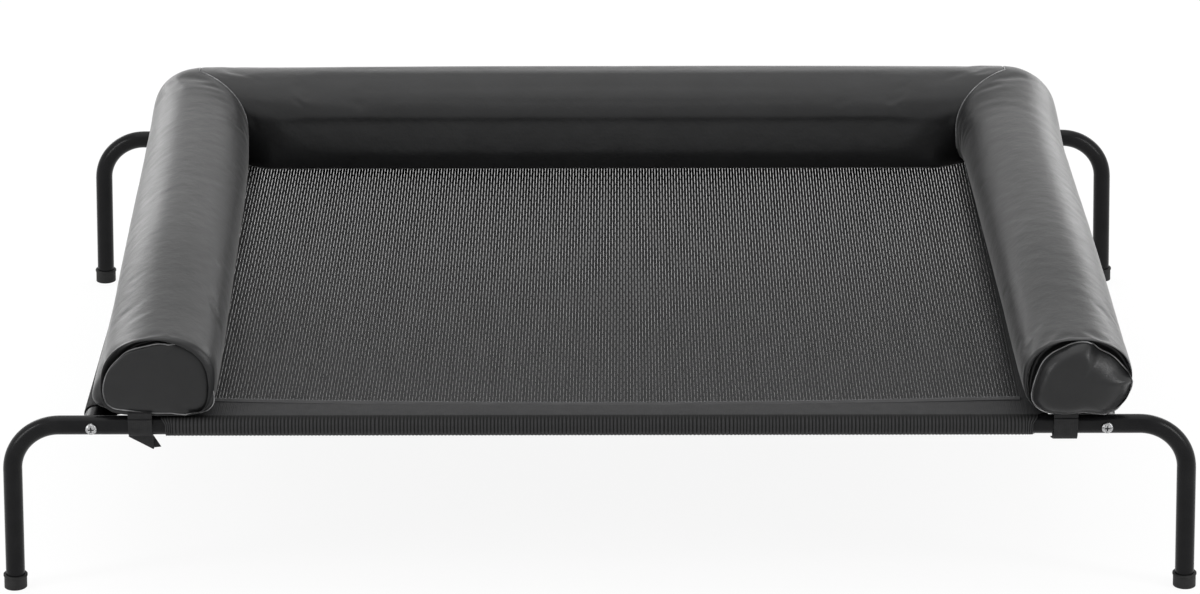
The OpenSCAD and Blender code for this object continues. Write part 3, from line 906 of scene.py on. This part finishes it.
def makeSling():
    left = panelLow.x - sling["lap"]
    width = sling["rightSeam"] + sling["lap"] - left
    length = panelHigh.y - panelLow.y
    pairs = int(width / sling["pitch"] / 2)
    pitch = width / pairs / 2
    steps = int(length / sling["period"] * sling["steps"])
    for name, phase, offset in (("oddWales", 0, 0.5), ("evenWales", math.pi, 1.5)):
        firstX = left + offset * pitch

        def place(u, v):
            y = panelLow.y + length * v
            turn = 2 * math.pi * y / sling["period"] + phase + (math.pi if u < 0.5 else 0)
            bridged = max(0, math.cos(turn)) ** sling["bridgePower"]
            half = pitch / 2 - sling["slit"] / 2 * (1 - bridged)
            return Vector((firstX + (2 * u - 1) * half, y, sling["ridge"] * (1 - abs(2 * u - 1))))

        wales = gridPiece(name, 2, steps, place)
        apart = (2 * pitch, 0, 0)
        addModifier(wales, "ARRAY", count=pairs, use_relative_offset=False,
                    use_constant_offset=True, constant_offset_displace=apart)
        for point in wales.data.vertices:
            wale = round((point.co.x - firstX) / pitch / 2)
            middle = firstX + 2 * pitch * wale
            out = point.co.x - middle
            if abs(out) > pitch / 4:
                edge = math.copysign(pitch / 2, out)
                point.co.x = middle + edge + (out - edge) * slitShare(point.co.x, point.co.y)
            slip = noise.noise(Vector((wale * sling["slipChange"], phase, sling["slipSeed"])))
            point.co.y += sling["slip"] * slip
            point.co.z += slingHeight(point.co.x, point.co.y) - sling["ridge"]
        smoothPiece(wales)
        finishPiece(wales, yarn)
        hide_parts("mesh_panel")
        print(name, "knitted,", len(wales.data.polygons), "faces")


def makeTapes():
    # a soft tape covers the cut ends of the wales at the front and the rear
    left = panelLow.x + sling["tapeInset"]
    length = sling["rightSeam"] - left
    across, along = sling["tapeSteps"]
    for end, name in ((-1, "front"), (1, "rear")):
        def place(u, v):
            x = left + length * v
            y = panelHigh.y + (u - 0.5) * sling["tapeWidth"]
            rise = sling["tapeRise"] * math.sin(math.pi * u) + sling["tapeLift"]
            return Vector((x, end * y, slingHeight(x, y) + rise))

        tapePiece = gridPiece(name + "Tape", across, along, place)
        editPiece(tapePiece, faceOutwards)
        addModifier(tapePiece, "SOLIDIFY", thickness=sling["tapeThick"], offset=-1)
        smoothPiece(tapePiece, 50)
        finishPiece(tapePiece, tape)
        row = [place(0.5, i / along) for i in range(along + 1)]
        makeLines(name + "TapeStitches", stitchesAlong(row, [Vector((0, 0, 1))] * len(row)),
                  stitch["thick"], thread)
    print("seams taped")


makeSling()
makeTapes()


# sleeves: doubled cloth round the rails, ribbed where it turns round the tube
sleeve = {
    "ribPitch": 0.00375,
    "ribSteps": 4,
    "ribHeight": 0.0007,
    "ribPower": 1.2,
    "wander": 0.4,      # how unevenly the ribs are spaced
    "wanderRate": 60,
    "wanderSeed": (3.1, 50),
    "flatRib": 0.15,    # how much of a rib shows where the cloth lies flat
    "underRib": 0.3,
    "ribGrow": 3,
    # the painted shade level where the cloth lies flat
    "flatPaintedShade": 0.6,
    "cloth": 0.0009,
    "clothApart": 2.2,  # from the upper layer of the border to the lower one, in cloths
    "dropPower": 1.5,
    "girth": 0.066,     # the cloth that goes round a tube
    "mapGirth": 0.06,
    "fit": 0.0110,      # from the rail's axis to the outside of the cloth between ribs
    "topSteps": 7,
    "turnSteps": 18,
    "underSteps": 6,
    "leave": -128,      # where the cloth leaves the underside of the tube, in degrees
    "endRun": 0.014,    # length over which an end is shaped
    "slant": 0.006,     # how much shorter the cloth round the tube is cut at the ends
    "slantRun": 0.6,
    "flare": 0.024,     # how much longer the border is at its right end
    "clear": 0.010,     # how much shorter it is at its left end, to clear the strap
    "notch": 0.013,     # how much shorter the side borders are than their sleeves
}
railLow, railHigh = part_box("rear_rail")
railY = railHigh.y - (railHigh.z - railLow.z) / 2
railZ = (railHigh.z + railLow.z) / 2
sideLow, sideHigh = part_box("right_side_rail")
sideX = (sideHigh.x + sideLow.x) / 2


def sleevePath(border, drop):
    # outward and up from the rail's axis, with how much of the rib shows
    fit = sleeve["fit"]
    flatRib, grow = sleeve["flatRib"], sleeve["ribGrow"]
    path = []
    for step in range(sleeve["topSteps"]):
        share = step / sleeve["topSteps"]
        up = fit - drop * (1 - share) ** sleeve["dropPower"]
        path.append((-border * (1 - share), up, flatRib))
    for step in range(sleeve["turnSteps"] + 1):
        share = step / sleeve["turnSteps"]
        angle = math.radians(90 + (sleeve["leave"] - 90) * share)
        shown = min(1, flatRib + grow * share, sleeve["underRib"] + grow * (1 - share))
        path.append((fit * math.cos(angle), fit * math.sin(angle), shown))
    lastOut, lastUp = path[-1][:2]
    tipUp = fit - drop - sleeve["clothApart"] * sleeve["cloth"]
    for step in range(1, sleeve["underSteps"] + 1):
        share = step / sleeve["underSteps"]
        path.append((lastOut + (-border - lastOut) * share, lastUp + (tipUp - lastUp) * share, flatRib))
    return path


def makeSleeve(name, length, border, shorten, spot, dropAt):
    # spot turns (along, outward, up) into a place on the rail
    steps = int(length / sleeve["ribPitch"]) * sleeve["ribSteps"]
    pathSteps = sleeve["topSteps"] + sleeve["turnSteps"] + sleeve["underSteps"]
    seed, borderSeed = sleeve["wanderSeed"]
    ribs = []

    def place(u, v):
        along = length * (u - 0.5)
        path = sleevePath(border, dropAt(along))
        index = round(v * pathSteps)
        out, up, shown = path[index]
        before = path[max(index - 1, 0)]
        after = path[min(index + 1, pathSteps)]
        run = Vector((after[0] - before[0], after[1] - before[1])).normalized()
        drift = noise.noise(Vector((along * sleeve["wanderRate"], seed, border * borderSeed)))
        wave = math.sin(math.pi * (along / sleeve["ribPitch"] + sleeve["wander"] * drift))
        rib = abs(wave) ** sleeve["ribPower"]
        lift = sleeve["ribHeight"] * rib * shown
        # painted shade for the colour: dark in the grooves, light on the crests, a fixed level where the
        # cloth lies flat
        ribs.append(sleeve["flatPaintedShade"] if shown <= sleeve["flatRib"] else rib * shown)
        nearEnd = max(0, 1 - (length / 2 - abs(along)) / sleeve["endRun"])
        end = 1 if along > 0 else -1
        along -= end * nearEnd * shorten(out, up, end)
        return spot(along, out - run.y * lift, up + run.x * lift)

    piece = gridPiece(name + "Sleeve", steps, pathSteps, place)
    scaleUv(piece, length, 2 * border + sleeve["mapGirth"])
    ribShadeLayer = piece.data.attributes.new("rib", "FLOAT", "POINT")
    ribShadeLayer.data.foreach_set("value", ribs)
    editPiece(piece, faceOutwards)
    addModifier(piece, "SOLIDIFY", thickness=sleeve["cloth"], offset=-1)
    smoothPiece(piece, 50)
    finishPiece(piece, borderCloth)
    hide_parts(name + "_sleeve")


def makeSleeves():
    for end, name in ((-1, "front"), (1, "rear")):
        low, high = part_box(name + "_sleeve")
        border = railY - panelHigh.y

        def slanted(out, up, atEnd):
            run = sleeve["slantRun"]
            lower = min(max((sleeve["fit"] - up) / sleeve["fit"], 0), run) / run
            inward = min(max(-out / border, 0), 1) ** 0.5
            longer = sleeve["flare"] if atEnd > 0 else -sleeve["clear"]
            return sleeve["slant"] * lower - longer * inward

        def onRail(along, out, up):
            return Vector((along, end * (railY + out), railZ + up))

        def edgeDrop(along):
            return railZ + sleeve["fit"] - slingHeight(along, panelHigh.y)

        makeSleeve(name, high.x - low.x, border, slanted, onRail, edgeDrop)
    for side, name in ((-1, "left"), (1, "right")):
        low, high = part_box(name + "_sleeve")
        border = sideX - (sling["rightSeam"] if side > 0 else panelHigh.x)

        def notched(out, up, atEnd):
            return sleeve["notch"] if out < -sleeve["fit"] else 0

        def onSideRail(along, out, up):
            return Vector((side * (sideX + out), along, railZ + up))

        def noDrop(along):
            return railZ + sleeve["fit"] - panelHigh.z

        makeSleeve(name, high.y - low.y, border, notched, onSideRail, noDrop)
    print("sleeves sewn")


makeSleeves()


# straps: webbing sewn to the bolster, a loop half inside each rail and a hook half that peels off outside
strap = {
    "reach": 0.0112,      # from the rail's axis to the middle of the webbing
    "hookTop": 0.0101,
    "loopTop": 0.0115,
    "thick": 0.0015,
    "edge": 0.0003,
    "tail": 0.026,
    "slack": 0.0042,      # how far a fastened strap hangs below its rail
    "rootRise": 0.0058,   # up to the seam that a front strap is sewn into
    "rootIn": 0.011,      # and how far into the bolster it goes there
    "rootBack": 0.0012,   # behind the hook half, which turns past it
    "rootGap": 0.0002,
    "rootLean": 0.002,
    "hookWrap": 70,
    "loopWrap": 77,
    "droop": 62,          # how far the loose tail hangs away, in degrees
    "fold": 31.5,         # slant of the fold in the loose tail
    "foldRoll": 0.0011,
    "foldUp": 0.04,       # how much the folded part turns up, and how far it stands off
    "foldOff": 0.2,
    "foldLead": 3,        # points before the tail where the fold may start
    "tetherFrom": 0.003,  # a rear strap's start and its bend, from the edges of the webbing
    "tetherBend": 0.0008,
    "tetherRun": 0.038,
    "tetherRise": 0.012,
    "across": 14,
    "step": 0.0012,
}


def strapMiddle(corner):
    low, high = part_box(corner + "_strap_hook")
    return (low.x + high.x) / 2, high.x - low.x


def spreadPath(bends):
    # points every step along straight runs
    path = [Vector(bends[0])]
    for a, b in zip(bends, bends[1:]):
        a, b = Vector(a), Vector(b)
        count = max(1, round((b - a).length / strap["step"]))
        path += [a.lerp(b, i / count) for i in range(1, count + 1)]
    return path


def arcPath(start, stop, count=24):
    reach = strap["reach"]
    angles = [math.radians(start + (stop - start) * i / count) for i in range(count + 1)]
    return [Vector((reach * math.cos(a), reach * math.sin(a))) for a in angles]


def makeRibbon(corner, kind, path, half, body="cot", bend=None):
    # half is the solid that the ribbon stands for
    middle, width = strapMiddle(corner)
    end = -1 if corner.startswith("front") else 1

    def place(u, v):
        index = v * (len(path) - 1)
        low = min(int(index), len(path) - 2)
        spot = path[low].lerp(path[low + 1], index - low)
        across = (u - 0.5) * width
        behind = 0
        if bend:
            across, spot, behind = bend(across, spot, index)
        return Vector((middle + across, end * (railY + spot.x - behind), railZ + spot.y))

    piece = gridPiece(corner + kind, strap["across"], 2 * (len(path) - 1), place)
    scaleUv(piece, width, strap["step"] * len(path))
    addModifier(piece, "SOLIDIFY", thickness=strap["thick"], offset=0)
    addModifier(piece, "BEVEL", width=strap["edge"], segments=2, limit_method="ANGLE",
                angle_limit=math.radians(50))
    editPiece(piece, faceOutwards)
    smoothPiece(piece, 40)
    finishPiece(piece, strapWeb, body)
    length = sum((b - a).length for a, b in zip(path, path[1:]))
    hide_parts(half)


def makeStraps():
    reach = strap["reach"]
    for corner in corners:
        loose = corner == "front_left"
        slack = Vector((0, 0 if loose else -strap["slack"]))
        wrapped = [spot + slack for spot in arcPath(0, -strap["hookWrap"])]
        way = math.radians((strap["droop"] if loose else 0) - 90 - strap["hookWrap"])
        tailWay = Vector((math.cos(way), math.sin(way)))
        tailStart = wrapped[-1]
        riser = spreadPath([(reach, strap["hookTop"]), wrapped[0]])
        tail = spreadPath([tailStart, tailStart + tailWay * strap["tail"]])
        path = riser[:-1] + wrapped + tail[1:]
        width = strapMiddle(corner)[1]

        def foldBack(across, spot, index):
            # the tail turns under itself along a slanted line
            down = (spot - tailStart).dot(tailWay)
            lean = math.radians(strap["fold"])
            foldAt = (across + width / 2) * math.tan(lean)
            past = down - foldAt
            if past <= 0 or index < len(riser) + len(wrapped) - strap["foldLead"]:
                return across, spot, 0
            roll = strap["foldRoll"]
            turned = min(past / roll, math.pi)
            flat = max(past - math.pi * roll, 0)
            bulge = roll * math.sin(turned)
            newDown = foldAt + bulge * math.cos(lean) - strap["foldUp"] * flat
            newAcross = across - bulge * math.sin(lean) + flat
            behind = roll * (1 - math.cos(turned)) + strap["foldOff"] * flat
            return newAcross, tailStart + tailWay * newDown, behind

        hook, loop = corner + "_strap_hook", corner + "_strap_loop"
        makeRibbon(corner, "Hook", path, hook, hook, foldBack if loose else None)
        inner = [spot + slack for spot in arcPath(180, 180 + strap["loopWrap"])]
        loopPath = spreadPath([(-reach, strap["loopTop"]), inner[0]])[:-1] + inner
        if corner.startswith("front"):
            top = strap["hookTop"] + strap["rootGap"]
            seamUp = top + strap["rootRise"]
            setBack = reach - strap["rootBack"]
            sewn = (reach - strap["rootIn"], seamUp + strap["rootLean"])
            root = spreadPath([(setBack, top), (setBack, seamUp), sewn])
            makeRibbon(corner, "Root", root, loop)
        else:
            sewn = (-strap["tetherRun"], reach + strap["tetherRise"])
            bend = (-reach - strap["tetherBend"], reach)
            tether = spreadPath([(reach - strap["tetherFrom"], reach), bend, sewn])
            makeRibbon(corner, "Tether", tether, loop)
        makeRibbon(corner, "Loop", loopPath, loop)
    print("straps fitted")


makeStraps()
